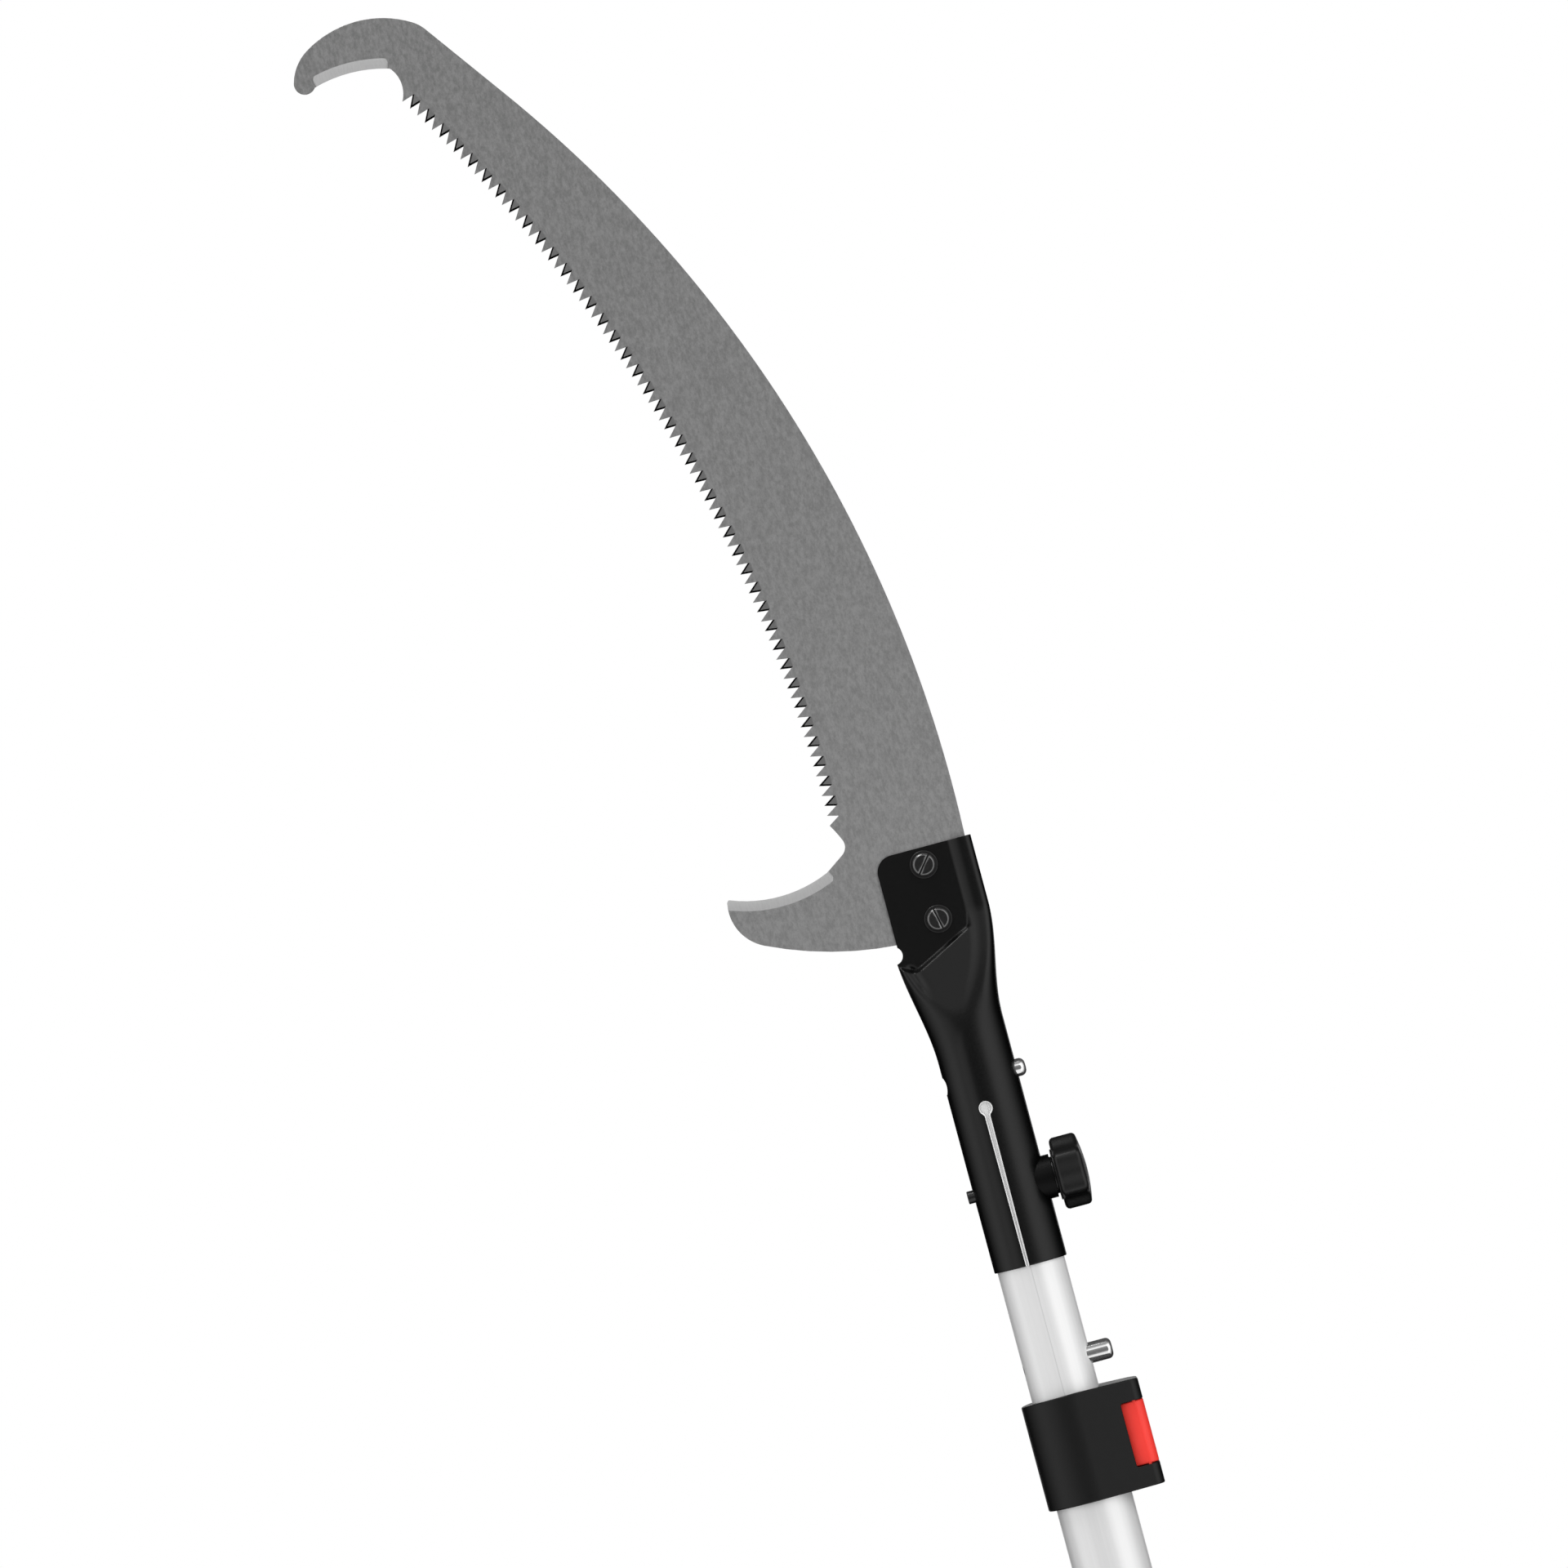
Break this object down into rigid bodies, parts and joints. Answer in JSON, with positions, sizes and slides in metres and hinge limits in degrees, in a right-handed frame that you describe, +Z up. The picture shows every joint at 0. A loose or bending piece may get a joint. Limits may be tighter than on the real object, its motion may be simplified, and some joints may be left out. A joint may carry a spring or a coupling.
{
  "type": "telescoping pole saw",
  "caption": "Long-reach pruning saw: a curved toothed blade with a hook and a sickle, clamped on a pole of nested oval aluminium tubes with push-button collars.",
  "frame": {"origin": "centre of the end cap's flat bottom face, on the pole's axis", "axes": "+Z up along the pole towards the blade; -X is the side that the teeth face, +X the side of the lock buttons and the clamp knob; Y is across the blade, whose flat side faces -Y"},
  "size_m": [0.225, 0.0427, 2.4504],
  "materials": {
    "blade_steel": "satin, fine grain",
    "socket_black": "satin black enamel",
    "screw_black": "black oxide",
    "zinc_steel": "zinc plated",
    "polished_steel": "polished",
    "spring_steel": "drawn wire",
    "anodised": "clear anodised, drawn along its length",
    "knob_plastic": "moulded, fine texture",
    "collar_plastic": "moulded glass-filled nylon",
    "button_red": "moulded",
    "inner_plastic": "moulded",
    "grip_rubber": "matte"
  },
  "bodies": {
    "outer_section": {"outer_tube": "anodised", "outer_collar": "collar_plastic", "outer_collar_screws": "zinc_steel", "outer_button_springs": "spring_steel", "grip_sleeve": "grip_rubber", "end_cap": "grip_rubber", "end_cap_screws": "zinc_steel"},
    "outer_button": {"outer_button": "button_red"},
    "middle_section": {"middle_tube": "anodised", "middle_end_plug": "inner_plastic", "middle_pin_housing": "inner_plastic", "middle_pin_spring": "spring_steel", "middle_collar": "collar_plastic", "middle_collar_screws": "zinc_steel", "middle_button_springs": "spring_steel"},
    "middle_button": {"middle_button": "button_red"},
    "middle_pin": {"middle_pin": "polished_steel"},
    "inner_section": {"inner_tube": "anodised", "inner_end_plug": "inner_plastic", "inner_pin_housings": "inner_plastic", "storage_pin_spring": "spring_steel", "inner_pin_spring": "spring_steel", "head_button_housing": "inner_plastic", "head_button_spring": "spring_steel", "clamp_nut": "zinc_steel", "blade_socket": "socket_black", "clamp_saddle": "knob_plastic", "blade": "blade_steel", "blade_screws": "screw_black", "blade_washers": "screw_black", "blade_nuts": "screw_black"},
    "storage_pin": {"storage_pin": "polished_steel"},
    "inner_pin": {"inner_pin": "polished_steel"},
    "head_button": {"head_button": "polished_steel"},
    "clamp_washer": {"clamp_washer": "screw_black"},
    "clamp_knob": {"clamp_knob": "knob_plastic", "clamp_stud": "screw_black"}
  },
  "joints": [
    {"name": "middle_slide", "type": "slide", "parent": "outer_section", "child": "middle_section", "axis": [0, 0, 1], "range_m": [-0.06, 1.225]},
    {"name": "inner_slide", "type": "slide", "parent": "middle_section", "child": "inner_section", "axis": [0, 0, 1], "range_m": [-0.01, 1.175]},
    {"name": "outer_button_press", "type": "slide", "parent": "outer_section", "child": "outer_button", "axis": [-1, 0, 0], "range_m": [0, 0.0104], "stiffness_N_per_m": 400, "springref_m": -0.004, "deforming": ["outer_button_springs"]},
    {"name": "middle_button_press", "type": "slide", "parent": "middle_section", "child": "middle_button", "axis": [-1, 0, 0], "range_m": [0, 0.0104], "stiffness_N_per_m": 400, "springref_m": -0.004, "deforming": ["middle_button_springs"]},
    {"name": "middle_pin_press", "type": "slide", "parent": "middle_section", "child": "middle_pin", "axis": [-1, 0, 0], "range_m": [0, 0.001], "stiffness_N_per_m": 400, "springref_m": -0.004, "deforming": ["middle_pin_spring"]},
    {"name": "inner_pin_press", "type": "slide", "parent": "inner_section", "child": "inner_pin", "axis": [-1, 0, 0], "range_m": [0, 0.001], "stiffness_N_per_m": 400, "springref_m": -0.004, "deforming": ["inner_pin_spring"]},
    {"name": "storage_pin_press", "type": "slide", "parent": "inner_section", "child": "storage_pin", "axis": [-1, 0, 0], "range_m": [0, 0.0104], "stiffness_N_per_m": 400, "springref_m": -0.004, "deforming": ["storage_pin_spring"]},
    {"name": "head_button_press", "type": "slide", "parent": "inner_section", "child": "head_button", "axis": [-1, 0, 0], "range_m": [0, 0.0056], "stiffness_N_per_m": 400, "springref_m": -0.004, "deforming": ["head_button_spring"]},
    {"name": "clamp_slide", "type": "slide", "parent": "inner_section", "child": "clamp_washer", "axis": [1, 0, 0], "range_m": [0, 0.002]},
    {"name": "clamp_turn", "type": "hinge", "parent": "clamp_washer", "child": "clamp_knob", "pos_m": [0.0218, 0, 1.851], "axis": [1, 0, 0], "range_deg": [0, 720]}
  ],
  "couplings": [
    {"joint": "clamp_slide", "follows": "clamp_turn", "m_per_rad": 0.00015915}
  ]
}
